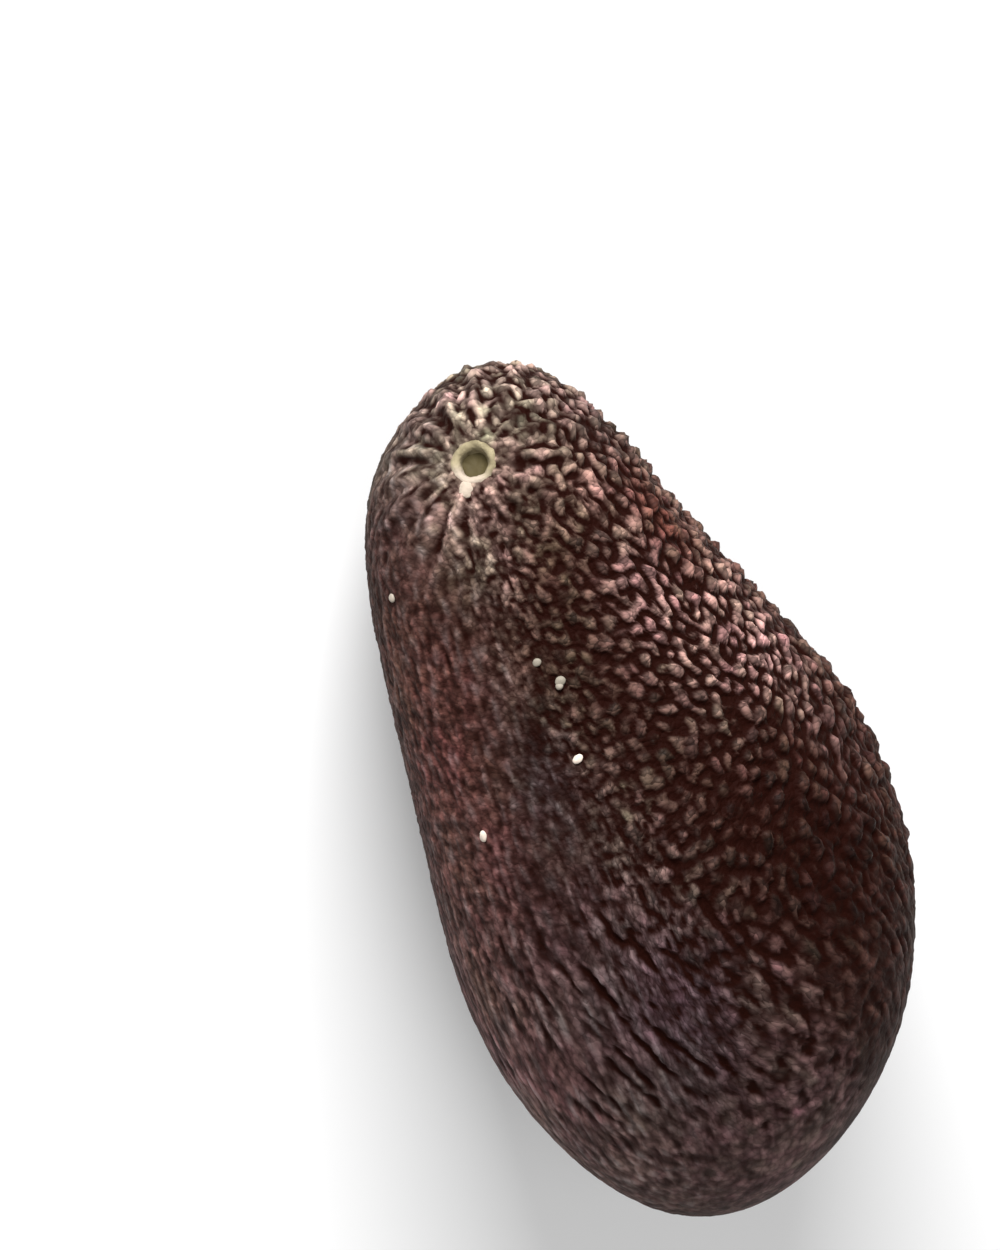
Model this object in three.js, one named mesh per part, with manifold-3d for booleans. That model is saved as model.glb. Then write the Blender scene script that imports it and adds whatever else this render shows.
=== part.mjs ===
// A ripe, dark-skinned avocado, picked and laid on its side. Millimetres, +Z up.
// The stem end points to +X, and the origin is on the flat spot that it rests on.
//
// A fruit grows in one piece, so it is one solid: a pear-shaped body with pebbled skin, a corky
// ring with a pit where the stalk came away, and a small point at the blossom end.
//
// Every place on the skin is named by a direction: a unit vector from the fruit's middle, with
// -x at the blossom end and +x at the tip of the neck.

import * as THREE from 'three';
import { ConvexHull } from 'three/addons/math/ConvexHull.js';
import { mergeVertices } from 'three/addons/utils/BufferGeometryUtils.js';
import Module from 'manifold-3d';

// The body. GIRTH and BOW are sums over powers of c, which runs from 1 at the blossom end
// through 0 at mid-length to -1 at the neck.
const LENGTH = 120;
const GIRTH = [29.4, 10.6, 0.9, -9.8, 2.1];
const BOW = [0, -2.0, 4.4, 4.8];

// No fruit is even: low swellings and hollows, each with its direction and its height.
const SWELL_REACH = 0.33;
const SWELLS = [
  { at: [0.1, 1, 0], height: -0.9 },
  { at: [0.95, 0.25, -0.1], height: -1.0 },
  { at: [0.95, -0.2, -0.2], height: 1.1 },
  { at: [0.5, -0.85, 0], height: -0.8 },
  { at: [0, -1, 0], height: 1.0 },
  { at: [-0.5, -0.85, 0.15], height: -0.7 },
  { at: [-0.4, 0.9, 0], height: 0.4 },
];

// How it lies: the neck dips until the weight is over the flat spot, where the skin gives a little.
const REST_TILT = THREE.MathUtils.degToRad(10);
const FLAT_SINK = 0.65;

// The stem scar sits on the upper shoulder of the neck, in a shallow dimple.
const SCAR_LEAN = THREE.MathUtils.degToRad(25.5);
const SCAR_TURN = THREE.MathUtils.degToRad(2.3);
const DIMPLE_DEPTH = 1.3;
const DIMPLE_REACH = 6.5;
const RIM_RADIUS = 3.1;
const RIM_HEIGHT = 0.55;
const PIT_RADIUS = 1.35;
const PIT_DEPTH = 1.7;
const ROOT_DEPTH = 2.4;

// Ridges run out from the scar and break up into pebbles. The rings are where the mesh has points
// on every crest and in every furrow.
const RIDGE_COUNT = 16;
const RIDGE_RISE = 0.7;
const RIDGE_WANDER = 0.7;
const RIDGE_RINGS = [4.4, 6.6, 9.2, 12.2];
const RIDGE_START = 3.2;
const RIDGE_END = 20;

// The pebbles, drawn a third larger than on the real skin, and smaller towards the blossom end.
const PEBBLE_GAP = 2.75;
const BLOSSOM_END_SHRINK = 0.2;
const PEBBLE_STRETCH = 1.2;
const PEBBLE_RISE = 0.45;
const PEBBLE_DIP = 0.42;
const PEBBLE_TRIES = 60000;
const SEED = 7;

// The point left by the flower, at the blossom end.
const POINT_RADIUS = 1.3;
const POINT_HEIGHT = 0.5;

const wasm = await Module();
wasm.setup();

// A seeded random number from 0 to 1.
let state = SEED;
function draw() {
  state = (state * 1664525 + 1013904223) % 4294967296;
  return state / 4294967296;
}

function sumOfPowers(factors, c) {
  return factors.reduceRight((sum, factor) => sum * c + factor, 0);
}

// The smooth body's surface, before any relief.
function bodyPoint(direction) {
  const c = -direction.x;
  const girth = sumOfPowers(GIRTH, c);
  return new THREE.Vector3(
    (LENGTH / 2) * (1 - c),
    sumOfPowers(BOW, c) + girth * direction.y,
    girth * direction.z
  );
}

// The direction of a point on or near the smooth body.
function directionOf(point) {
  const c = THREE.MathUtils.clamp(1 - (2 * point.x) / LENGTH, -1, 1);
  const girth = sumOfPowers(GIRTH, c);
  const across = new THREE.Vector2((point.y - sumOfPowers(BOW, c)) / girth, point.z / girth);
  across.setLength(Math.sqrt(1 - c * c));
  return new THREE.Vector3(-c, across.x, across.y);
}

// Two directions at right angles to a third.
function squareTo(direction) {
  const helper = Math.abs(direction.z) < 0.9 ? new THREE.Vector3(0, 0, 1) : new THREE.Vector3(0, 1, 0);
  const first = helper.cross(direction).normalize();
  return [first, direction.clone().cross(first)];
}

function bodyNormal(direction) {
  const step = 1e-3;
  const centre = bodyPoint(direction);
  const [along, across] = squareTo(direction).map((side) =>
    bodyPoint(direction.clone().addScaledVector(side, step).normalize()).sub(centre)
  );
  return along.cross(across).normalize();
}

const scarDirection = new THREE.Vector3(
  Math.cos(SCAR_LEAN) * Math.cos(SCAR_TURN),
  Math.sin(SCAR_TURN),
  Math.sin(SCAR_LEAN) * Math.cos(SCAR_TURN)
);
const scarPoint = bodyPoint(scarDirection);
const scarNormal = bodyNormal(scarDirection);
const [scarSide, scarUp] = squareTo(scarNormal);

function swelling(direction) {
  return SWELLS.reduce((sum, { at, height }) => {
    const apart = direction.distanceTo(new THREE.Vector3(...at).normalize());
    return sum + height * Math.exp(-((apart / SWELL_REACH) ** 2));
  }, 0);
}

// How far the ridges are from even spacing, as an angle of their wave.
function ridgeWander(angle) {
  return RIDGE_WANDER * Math.sin(3 * angle + 1);
}

// Relief that follows the scar: the dimple, and the ridges round it.
function scarRelief(point) {
  const offset = point.clone().sub(scarPoint);
  const distance = offset.length();
  const angle = Math.atan2(offset.dot(scarUp), offset.dot(scarSide));
  const grown = THREE.MathUtils.smoothstep(distance, RIDGE_START, RIDGE_RINGS[0]);
  const faded = 1 - THREE.MathUtils.smoothstep(distance, RIDGE_RINGS[2], RIDGE_END);
  const ridge = RIDGE_RISE * Math.cos(RIDGE_COUNT * angle + ridgeWander(angle)) * grown * faded;
  return ridge - DIMPLE_DEPTH * Math.exp(-((distance / DIMPLE_REACH) ** 2));
}

// How bold the pebbles are at a place: none beside the scar, and less on the flank that faces
// +Y and at the blossom end.
function boldness(direction, point) {
  const besideScar = THREE.MathUtils.smoothstep(point.distanceTo(scarPoint), RIDGE_RINGS[0], RIDGE_RINGS[3]);
  const flank = 1 - 0.35 * THREE.MathUtils.smoothstep(direction.y, 0.2, 0.8);
  const blossomEnd = 1 - 0.4 * THREE.MathUtils.smoothstep(-direction.x, 0.5, 1);
  return besideScar * flank * blossomEnd;
}

// A point of the skin, raised or sunk from the smooth body by a share of the pebbles' height.
function skinPoint(direction, height) {
  const point = bodyPoint(direction);
  const relief = swelling(direction) + scarRelief(point) + height * boldness(direction, point);
  return point.addScaledVector(bodyNormal(direction), relief);
}

// The middles of the pebbles: rings of points on the ridges, and the rest thrown like darts that
// are kept wherever they land clear of the others.
function pebbleMiddles() {
  const middles = [];
  const keep = (direction) => middles.push({ direction, point: bodyPoint(direction) });
  keep(scarDirection);
  keep(new THREE.Vector3(-1, 0, 0));
  for (const ring of [RIM_RADIUS * 0.8, ...RIDGE_RINGS]) {
    for (let i = 0; i < 2 * RIDGE_COUNT; i++) {
      const evenly = (Math.PI * i) / RIDGE_COUNT;
      const angle = evenly - ridgeWander(evenly) / RIDGE_COUNT;
      const point = scarPoint.clone();
      point.addScaledVector(scarSide, ring * Math.cos(angle)).addScaledVector(scarUp, ring * Math.sin(angle));
      keep(directionOf(point));
    }
  }
  for (let i = 0; i < PEBBLE_TRIES; i++) {
    const x = 2 * draw() - 1;
    const angle = 2 * Math.PI * draw();
    const across = Math.sqrt(1 - x * x);
    const direction = new THREE.Vector3(x, across * Math.cos(angle), across * Math.sin(angle));
    const point = bodyPoint(direction);
    const gap = PEBBLE_GAP * (1 - BLOSSOM_END_SHRINK * THREE.MathUtils.smoothstep(-x, -0.4, 0.8));
    const clear = middles.every(({ point: other }) => {
      const along = (point.x - other.x) / PEBBLE_STRETCH;
      return Math.hypot(along, point.y - other.y, point.z - other.z) > gap;
    });
    if (clear && point.distanceTo(scarPoint) > RIDGE_RINGS[3]) keep(direction);
  }
  return middles.map(({ direction }) => direction);
}

// Moves directions along the fruit so that small shapes keep their angles, as on a sea chart.
// Neighbours on the ball that this gives are then neighbours on the skin.
const CHART_STEPS = 400;
const chart = [0];
for (let i = 1; i <= CHART_STEPS; i++) {
  const [from, to] = [i - 1, i].map((step) => {
    const turn = (Math.PI * step) / CHART_STEPS;
    return new THREE.Vector2((-LENGTH / 2) * Math.cos(turn), Math.sin(turn) * sumOfPowers(GIRTH, Math.cos(turn)));
  });
  chart.push(chart[i - 1] + from.distanceTo(to) / ((from.y + to.y) / 2));
}

function onBall(direction) {
  const step = (CHART_STEPS * Math.acos(THREE.MathUtils.clamp(-direction.x, -1, 1))) / Math.PI;
  const below = Math.min(Math.floor(step), CHART_STEPS - 1);
  const northing = THREE.MathUtils.lerp(chart[below], chart[below + 1], step - below) - chart[CHART_STEPS / 2];
  const polar = 2 * Math.atan(Math.exp(northing));
  const across = new THREE.Vector2(direction.y, direction.z).setLength(Math.sin(polar));
  return new THREE.Vector3(-Math.cos(polar), across.x, across.y);
}

// The pebbled skin as one closed mesh. Each pebble is a low pyramid: its middle stands up, and
// its corners, which lie between three middles, are sunk.
function pebbledBody() {
  const middles = pebbleMiddles();
  const balls = middles.map(onBall);
  const numberOf = new Map(balls.map((ball, i) => [ball, i]));
  const hull = new ConvexHull().setFromPoints(balls);
  const points = middles.map((middle) => skinPoint(middle, PEBBLE_RISE * (0.7 + 0.6 * draw())));
  const cornerLeftOf = new Map();
  for (const face of hull.faces) {
    const trio = [0, 1, 2].map((i) => numberOf.get(face.getEdge(i).head().point));
    const middle = new THREE.Vector3();
    trio.forEach((i) => middle.add(middles[i]));
    trio.forEach((from, i) => cornerLeftOf.set(from + ' ' + trio[(i + 1) % 3], points.length));
    points.push(skinPoint(middle.normalize(), -PEBBLE_DIP));
  }
  const triangles = [];
  for (const [pair, left] of cornerLeftOf) {
    const [from, to] = pair.split(' ').map(Number);
    triangles.push(from, cornerLeftOf.get(to + ' ' + from), left);
  }
  const geometry = new THREE.BufferGeometry().setFromPoints(points);
  geometry.setIndex(triangles);
  return geometry;
}

// A closed geometry as a solid that can be joined and cut.
function solidOf(geometry) {
  const bare = geometry.clone();
  bare.deleteAttribute('normal');
  bare.deleteAttribute('uv');
  const merged = mergeVertices(bare, 1e-4);
  const corners = merged.index.array;
  const triangles = [];
  for (let i = 0; i < corners.length; i += 3) {
    const [a, b, c] = corners.slice(i, i + 3);
    if (a !== b && b !== c && c !== a) triangles.push(a, b, c);
  }
  const vertProperties = new Float32Array(merged.attributes.position.array);
  return new wasm.Manifold(new wasm.Mesh({ numProp: 3, vertProperties, triVerts: new Uint32Array(triangles) }));
}

function geometryOf(solid) {
  const mesh = solid.getMesh();
  const geometry = new THREE.BufferGeometry();
  geometry.setAttribute('position', new THREE.BufferAttribute(mesh.vertProperties, mesh.numProp));
  geometry.setIndex(new THREE.BufferAttribute(mesh.triVerts, 1));
  geometry.computeVertexNormals();
  return geometry;
}

// A turned shape, from [radius, height] corners, standing on the skin at a point.
function turned(corners, sides, point, normal) {
  const profile = corners.map(([radius, height]) => new THREE.Vector2(radius, height));
  const upright = new THREE.Quaternion().setFromUnitVectors(new THREE.Vector3(0, 1, 0), normal);
  const geometry = new THREE.LatheGeometry(profile, sides).applyQuaternion(upright);
  return solidOf(geometry.translate(point.x, point.y, point.z));
}

function corkyRim() {
  const corners = [
    [0, -ROOT_DEPTH],
    [RIM_RADIUS, -ROOT_DEPTH],
    [RIM_RADIUS, 0],
    [RIM_RADIUS * 0.84, RIM_HEIGHT],
    [PIT_RADIUS * 1.25, RIM_HEIGHT * 0.8],
    [0, RIM_HEIGHT * 0.3],
  ];
  return turned(corners, 20, skinPoint(scarDirection, 0), scarNormal);
}

function stalkPit() {
  const corners = [
    [0, -PIT_DEPTH],
    [PIT_RADIUS * 0.7, -PIT_DEPTH],
    [PIT_RADIUS, 0],
    [PIT_RADIUS * 1.2, 2 * RIM_HEIGHT],
    [0, 2 * RIM_HEIGHT],
  ];
  return turned(corners, 20, skinPoint(scarDirection, 0), scarNormal);
}

function blossomPoint() {
  const end = new THREE.Vector3(-1, 0, 0);
  const corners = [
    [0, -ROOT_DEPTH],
    [POINT_RADIUS, -ROOT_DEPTH],
    [POINT_RADIUS, 0],
    [POINT_RADIUS * 0.4, POINT_HEIGHT],
    [0, POINT_HEIGHT],
  ];
  return turned(corners, 12, skinPoint(end, 0), bodyNormal(end));
}

// Tips the fruit into the way it lies, and sets its lowest point just under the surface.
function restPose() {
  const tip = new THREE.Matrix4().makeRotationY(REST_TILT);
  let lowest = null;
  for (let turn = 0; turn < Math.PI; turn += 0.001) {
    const underside = new THREE.Vector3(-Math.cos(turn), 0, -Math.sin(turn));
    const point = bodyPoint(underside).applyMatrix4(tip);
    if (!lowest || point.z < lowest.z) lowest = point;
  }
  return tip.premultiply(new THREE.Matrix4().makeTranslation(-lowest.x, -lowest.y, -lowest.z - FLAT_SINK));
}

// What lies under the surface, to cut the flat spot with.
function underTheSurface() {
  const side = 2 * LENGTH;
  return solidOf(new THREE.BoxGeometry(side, side, side).translate(0, 0, -side / 2));
}

function avocado() {
  const grown = solidOf(pebbledBody()).add(corkyRim()).subtract(stalkPit()).add(blossomPoint());
  const lying = solidOf(geometryOf(grown).applyMatrix4(restPose())).subtract(underTheSurface());
  const skin = new THREE.MeshStandardMaterial({ color: '#45322d', roughness: 0.55, metalness: 0, flatShading: true });
  const mesh = new THREE.Mesh(geometryOf(lying), skin);
  mesh.name = 'avocado';
  return mesh;
}

const group = new THREE.Group();
group.add(avocado());

export default group;
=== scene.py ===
# %% [markdown]
# # A ripe avocado, lying on its side
#
# The real thing is one fruit: a firm pear-shaped body in a thick leathery skin, covered with small
# dark pebbles, with a pale corky ring where the stalk came away. The CAD part already has the
# body's form and coarse pebbles. Here that solid is replaced by a finer skin on the same form, so
# the look comes from real geometry, and the materials add colour and the finest grain.

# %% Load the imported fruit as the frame
import math

import bmesh
import bpy
import numpy as np
from mathutils import Matrix, Vector, kdtree, noise


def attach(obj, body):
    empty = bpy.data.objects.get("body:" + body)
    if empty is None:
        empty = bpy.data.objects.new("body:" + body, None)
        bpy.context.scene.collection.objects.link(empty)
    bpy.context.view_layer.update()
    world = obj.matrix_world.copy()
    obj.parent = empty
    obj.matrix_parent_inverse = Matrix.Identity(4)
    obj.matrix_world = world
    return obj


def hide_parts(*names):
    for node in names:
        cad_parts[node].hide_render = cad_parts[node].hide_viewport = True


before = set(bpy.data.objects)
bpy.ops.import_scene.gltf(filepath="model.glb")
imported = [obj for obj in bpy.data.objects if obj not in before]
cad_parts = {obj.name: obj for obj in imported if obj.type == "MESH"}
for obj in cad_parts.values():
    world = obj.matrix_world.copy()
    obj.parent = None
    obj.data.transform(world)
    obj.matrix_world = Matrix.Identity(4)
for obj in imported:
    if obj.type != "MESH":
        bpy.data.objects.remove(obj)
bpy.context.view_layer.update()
scene = bpy.context.scene
MM = 0.001

# %% [markdown]
# ## The camera
#
# The fruit lies down here, so the camera looks down on it, from the stem's side, and is rolled
# until the neck points up in the picture. A camera could be aimed with a Track To constraint, but
# a matrix built from two directions gives the roll as well, and nothing is left live.

# %% Place the camera
CAMERA_AT = Vector((0.37716, 0.0, 0.62363))
CAMERA_LOOKS = Vector((-0.49797, 0.01132, -0.86712))
CAMERA_UP = Vector((0.79881, -0.38320, -0.46375))
LENS = 155.8
CLIP = (0.05, 20)

camera_data = bpy.data.cameras.new("camera")
camera_data.lens = LENS
camera_data.clip_start, camera_data.clip_end = CLIP
camera = bpy.data.objects.new("camera", camera_data)
scene.collection.objects.link(camera)
back = -CAMERA_LOOKS.normalized()
right = CAMERA_UP.cross(back).normalized()
up = back.cross(right)
turn = Matrix((right, up, back)).transposed().to_4x4()
camera.matrix_world = Matrix.Translation(CAMERA_AT) @ turn
scene.camera = camera
print("camera height above the floor, mm:", round(CAMERA_AT.z / MM))

# %% [markdown]
# ## Two small tools for materials
#
# Colours are written as the hex values that a paint program shows, which are sRGB, while shaders
# work in linear light. So one function does the change. A second one adds a node and fills its
# sockets, from a number, a colour or another node's output, which keeps each material readable.

# %% Colour and node helpers
def colour(hex_code):
    """A linear colour with alpha, from an sRGB hex code."""
    parts = [int(hex_code[i : i + 2], 16) / 255 for i in (1, 3, 5)]
    linear = [v / 12.92 if v <= 0.04045 else ((v + 0.055) / 1.055) ** 2.4 for v in parts]
    return (*linear, 1.0)


def add_node(tree, kind, sockets=None, **settings):
    """Adds a node, sets its options, and gives its sockets a value or a link."""
    made = tree.nodes.new(kind)
    for name, value in settings.items():
        setattr(made, name, value)
    for name, value in (sockets or {}).items():
        if isinstance(value, bpy.types.NodeSocket):
            tree.links.new(value, made.inputs[name])
        else:
            made.inputs[name].default_value = value
    return made


def new_material(name):
    """An empty material, and its node tree and output."""
    material = bpy.data.materials.new(name)
    material.use_nodes = True
    material.node_tree.nodes.clear()
    output = material.node_tree.nodes.new("ShaderNodeOutputMaterial")
    return material, material.node_tree, output


# A Mix node keeps the sockets of all its kinds, so these are the ones for numbers and colours.
NUMBER_A, NUMBER_B, NUMBER_RESULT = 2, 3, 0
MIX_A, MIX_B, MIX_RESULT = 6, 7, 2
# This near-black is also the painted shade of a small dent on the skin, further down.
print("ink black in linear light:", colour("#050404")[:3])

# %% [markdown]
# ## Floor and light
#
# The photo was taken on white, under one large soft light that stands low beyond the neck and a
# little to the pebbled side, as the floor's soft shadow tells. A big area light gives that
# softness, a weak one overhead lifts the top, and the world's even glow stands in for white walls.

# %% Make the floor and the lights
FLOOR_HALF = 3
LIGHT_CENTRE = Vector((0, 0, 0.03))
LIGHT_DISTANCE = 0.9
LIGHTS = (
    ("key", (0.92, -0.25, 0.39), 0.36, 15.5),
    ("top", (0.3, -0.15, 0.93), 0.3, 0.8),
)
WALL_GLOW = 0.56

floor_mesh = bpy.data.meshes.new("floor")
shape = bmesh.new()
bmesh.ops.create_grid(shape, x_segments=1, y_segments=1, size=FLOOR_HALF)
shape.to_mesh(floor_mesh)
shape.free()
floor = bpy.data.objects.new("floor", floor_mesh)
scene.collection.objects.link(floor)
paper, tree, output = new_material("matt white paper sweep")
bsdf = add_node(
    tree, "ShaderNodeBsdfPrincipled", {"Base Color": colour("#f4f4f4"), "Roughness": 0.9}
)
tree.links.new(bsdf.outputs[0], output.inputs[0])
floor_mesh.materials.append(paper)

for name, from_fruit, size, power in LIGHTS:
    light_data = bpy.data.lights.new(name, "AREA")
    light_data.shape = "SQUARE"
    light_data.size = size
    light_data.energy = power
    light = bpy.data.objects.new(name, light_data)
    scene.collection.objects.link(light)
    away = Vector(from_fruit).normalized()
    light.location = LIGHT_CENTRE + away * LIGHT_DISTANCE
    light.rotation_euler = away.to_track_quat("Z", "Y").to_euler()
world = bpy.data.worlds.new("white studio")
world.use_nodes = True
world.node_tree.nodes["Background"].inputs["Color"].default_value = (1, 1, 1, 1)
world.node_tree.nodes["Background"].inputs["Strength"].default_value = WALL_GLOW
scene.world = world
scene.view_settings.view_transform = "Standard"

# %% [markdown]
# ## The body's form
#
# Every place on the skin is named by a direction from the fruit's middle, and a short formula
# turns it into a point: how far along, how wide, and how far the middle line bows to one side. The
# same numbers are in the CAD source, so the fine skin lies exactly on the solid it replaces. The
# work is done in millimetres on whole arrays of points, which is quick.

# %% The form as formulas
LENGTH = 120
GIRTH = (29.4, 10.6, 0.9, -9.8, 2.1)
BOW = (0, -2.0, 4.4, 4.8)
SWELL_REACH = 0.33
SWELLS = (
    ((0.1, 1, 0), -0.9),
    ((0.95, 0.25, -0.1), -1.0),
    ((0.95, -0.2, -0.2), 1.1),
    ((0.5, -0.85, 0), -0.8),
    ((0, -1, 0), 1.0),
    ((-0.5, -0.85, 0.15), -0.7),
    ((-0.4, 0.9, 0), 0.4),
)


def unit(vectors):
    """The same directions with a length of 1."""
    return vectors / np.linalg.norm(vectors, axis=-1, keepdims=True)


def sum_of_powers(factors, c):
    """The first factor, plus the second times c, plus the third times c squared, and so on."""
    return np.polyval(factors[::-1], c)


def ease(low, high, value):
    """0 below low, 1 above high, and a smooth step between them."""
    t = np.clip((value - low) / (high - low), 0, 1)
    return t * t * (3 - 2 * t)


def body_point(direction):
    """The smooth body's surface in a direction."""
    c = -direction[..., 0]
    girth = sum_of_powers(GIRTH, c)
    along = LENGTH / 2 * (1 - c)
    across = sum_of_powers(BOW, c) + girth * direction[..., 1]
    return np.stack([along, across, girth * direction[..., 2]], axis=-1)


def body_normal(direction):
    """The outward normal there, from two small steps over the surface."""
    step = 1e-3
    helper = np.where(np.abs(direction[..., 2:]) < 0.9, (0.0, 0.0, 1.0), (0.0, 1.0, 0.0))
    first = unit(np.cross(helper, direction))
    second = np.cross(direction, first)
    centre = body_point(direction)
    along = body_point(unit(direction + step * first)) - centre
    across = body_point(unit(direction + step * second)) - centre
    return unit(np.cross(along, across))


def towards(at):
    """A unit vector from three rounded numbers."""
    return unit(np.array(at, float))


def nearness(direction, at, reach):
    """1 at a place on the skin, falling smoothly to 0 beyond a reach."""
    apart = np.linalg.norm(direction - at, axis=-1)
    return np.exp(-((apart / reach) ** 2))


def swelling(direction):
    """Low swellings and hollows, in millimetres, because no fruit is even."""
    height = np.zeros(direction.shape[:-1])
    for at, rise in SWELLS:
        height += rise * nearness(direction, towards(at), SWELL_REACH)
    return height


# %% How the fruit lies
REST_TILT = math.radians(10)
FLAT_SINK = 0.65


def tipped(point):
    """Turned so that the neck dips, as it does when the fruit lies down."""
    x, y, z = point[..., 0], point[..., 1], point[..., 2]
    cos, sin = math.cos(REST_TILT), math.sin(REST_TILT)
    return np.stack([x * cos + z * sin, y, z * cos - x * sin], axis=-1)


turns = np.arange(0, math.pi, 0.001)
underside = tipped(body_point(np.stack([-np.cos(turns), 0 * turns, -np.sin(turns)], axis=-1)))
lowest = underside[underside[:, 2].argmin()]


def laid_down(point):
    """From the growing frame, in millimetres, to the row frame, in metres, with the flat spot."""
    placed = tipped(point) - lowest - (0, 0, FLAT_SINK)
    placed[..., 2] = np.maximum(placed[..., 2], 0)
    return placed * MM


print("lowest point of the smooth body, mm:", np.round(lowest, 2))

# %% [markdown]
# ## The stem scar's relief
#
# Round the scar the real skin is drawn into a shallow dimple, with ridges that run outwards and
# break up into pebbles. Both are heights above the body that depend on the distance from the scar
# and the angle round it.

# %% The dimple and the ridges
SCAR_LEAN = math.radians(25.5)
SCAR_TURN = math.radians(2.3)
DIMPLE_DEPTH = 1.3
DIMPLE_REACH = 6.5
COLLAR_DEPTH = 0.45
COLLAR_REACH = 3.9
RIDGE_COUNT = 16
RIDGE_RISE = 0.5
RIDGE_WANDER = 0.7
RIDGES_BEGIN = (3.5, 8)
RIDGES_END = (10, 20)
SCAR_POCKET = 2.4
POCKET_EDGE = (1.8, 2.9)
RIB_DENSITY = 9.0
RIB_LENGTH = 6
RIB_SEED = 20
RIBS_BEGIN = (3.0, 4.5)
RIBS_END = (8, 18)

scar_direction = np.array(
    [
        math.cos(SCAR_LEAN) * math.cos(SCAR_TURN),
        math.sin(SCAR_TURN),
        math.sin(SCAR_LEAN) * math.cos(SCAR_TURN),
    ]
)
scar_point = body_point(scar_direction)
scar_normal = body_normal(scar_direction)
scar_side = unit(np.cross((0, 0, 1), scar_normal))
scar_up = np.cross(scar_normal, scar_side)


def scar_polar(point):
    """Distance from the scar and angle round it."""
    offset = point - scar_point
    return np.linalg.norm(offset, axis=-1), np.arctan2(offset @ scar_up, offset @ scar_side)


def scar_relief(point, unevenness):
    """The dimple, the pocket for the cork ring and the broad ridges, in millimetres."""
    distance, angle = scar_polar(point)
    wave = np.cos(RIDGE_COUNT * angle + RIDGE_WANDER * np.sin(3 * angle + 1) + unevenness)
    ridge = RIDGE_RISE * wave
    strength = ease(*RIDGES_BEGIN, distance) * (1 - ease(*RIDGES_END, distance))
    dimple = DIMPLE_DEPTH * np.exp(-((distance / DIMPLE_REACH) ** 2))
    dimple += COLLAR_DEPTH * np.exp(-((distance / COLLAR_REACH) ** 2))
    return ridge * strength - dimple - SCAR_POCKET * (1 - ease(*POCKET_EDGE, distance))


def ribs(distance, angle):
    """Fine folds of the skin that run out from the scar, from -1 to 1."""
    sideways, upwards = RIB_DENSITY * np.cos(angle), RIB_DENSITY * np.sin(angle)
    places = np.stack([sideways, upwards, distance / RIB_LENGTH], axis=-1) + RIB_SEED
    strength = ease(*RIBS_BEGIN, distance) * (1 - ease(*RIBS_END, distance))
    return strength * np.array([noise.noise(p) for p in places.tolist()])


print("stem scar, mm along the fruit:", round(scar_point[0], 1))

# %% [markdown]
# ## A mesh with even squares
#
# A UV sphere crowds its faces at the poles, and the pebbles would look pinched there. A cube cut
# into a grid and blown up to a ball has no poles, so its squares stay nearly even. The fruit is
# twice as long as it is wide, so the edges that run along it are cut once more.

# %% Make the grid
CELLS = 99
CAP_ARC = 24.7

skin_mesh = bpy.data.meshes.new("avocado_skin")
shape = bmesh.new()
bmesh.ops.create_cube(shape, size=2)
bmesh.ops.subdivide_edges(shape, edges=shape.edges[:], cuts=CELLS - 1, use_grid_fill=True)
lengthwise = [e for e in shape.edges if abs(e.verts[0].co.x - e.verts[1].co.x) > 1e-4]
bmesh.ops.subdivide_edges(shape, edges=lengthwise, cuts=1)
shape.to_mesh(skin_mesh)
shape.free()
print("skin squares:", len(skin_mesh.polygons))


def coordinates(mesh):
    """All points of a mesh as one array."""
    flat = np.empty(len(mesh.vertices) * 3, np.float32)
    mesh.vertices.foreach_get("co", flat)
    return flat.reshape(-1, 3).astype(float)


# %% [markdown]
# The cube's points become directions. Their angle from the blossom end is then changed so that
# equal steps cover equal lengths of the fruit's outline, which keeps the squares about half a
# millimetre wide from one end to the other.

# %% Spread the grid evenly over the fruit
ball = unit(np.tan(coordinates(skin_mesh) * math.pi / 4))
profile_turn = np.linspace(0, math.pi, 2001)
profile_c = np.cos(profile_turn)
profile_radius = np.sin(profile_turn) * sum_of_powers(GIRTH, profile_c)
profile = np.stack([-LENGTH / 2 * profile_c, profile_radius], axis=-1)
profile_steps = np.linalg.norm(np.diff(profile, axis=0), axis=1)
profile_arc = np.concatenate([[0], np.cumsum(profile_steps)])
wanted_arc = np.interp(
    np.arccos(np.clip(-ball[:, 0], -1, 1)),
    (0, math.pi / 4, 3 * math.pi / 4, math.pi),
    (0, CAP_ARC, profile_arc[-1] - CAP_ARC, profile_arc[-1]),
)
body_turn = np.interp(wanted_arc, profile_arc, profile_turn)
around = np.arctan2(ball[:, 2], ball[:, 1])
spread = np.sin(body_turn)
direction = np.stack(
    [-np.cos(body_turn), spread * np.cos(around), spread * np.sin(around)], axis=-1
)
base = body_point(direction)
normal = body_normal(direction)
print("outline from end to end, mm:", round(profile_arc[-1], 1))

# %% [markdown]
# ## Where the pebbles are
#
# Real pebbles are packed closely but never in a lattice. Darts thrown at random, each one clearing
# a small disc round itself, give just that. The discs shrink where the pebbles are finer, and the
# space is squeezed along the fruit so that the pebbles of the lower half come out long. A slow
# twist makes their rows lean one way at the neck and the other way in the lower half.

# %% Where the skin is finer, and how its rows run
PEBBLE_GAP = 1.6
FINER_ON_FLANK = 0.3
FINER_AT_BLOSSOM = 0.22
FINER_AT_SCAR = 0.22
SCAR_ZONE = 0.3
FLANK_EDGE = (-0.05, 0.45)
BLOSSOM_EDGE = (0.1, 0.95)
LONG_PEBBLES = 2.4
ROUND_PEBBLES = 1.1
LONG_TO_ROUND = (30, 75)
NECK_TWIST, NECK_SPAN = 0.27, (50, 76)
BELLY_TWIST, BELLY_SPAN = 0.46, (12, 48)
TWISTED_SIDE = (-0.5, 0.1)

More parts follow.
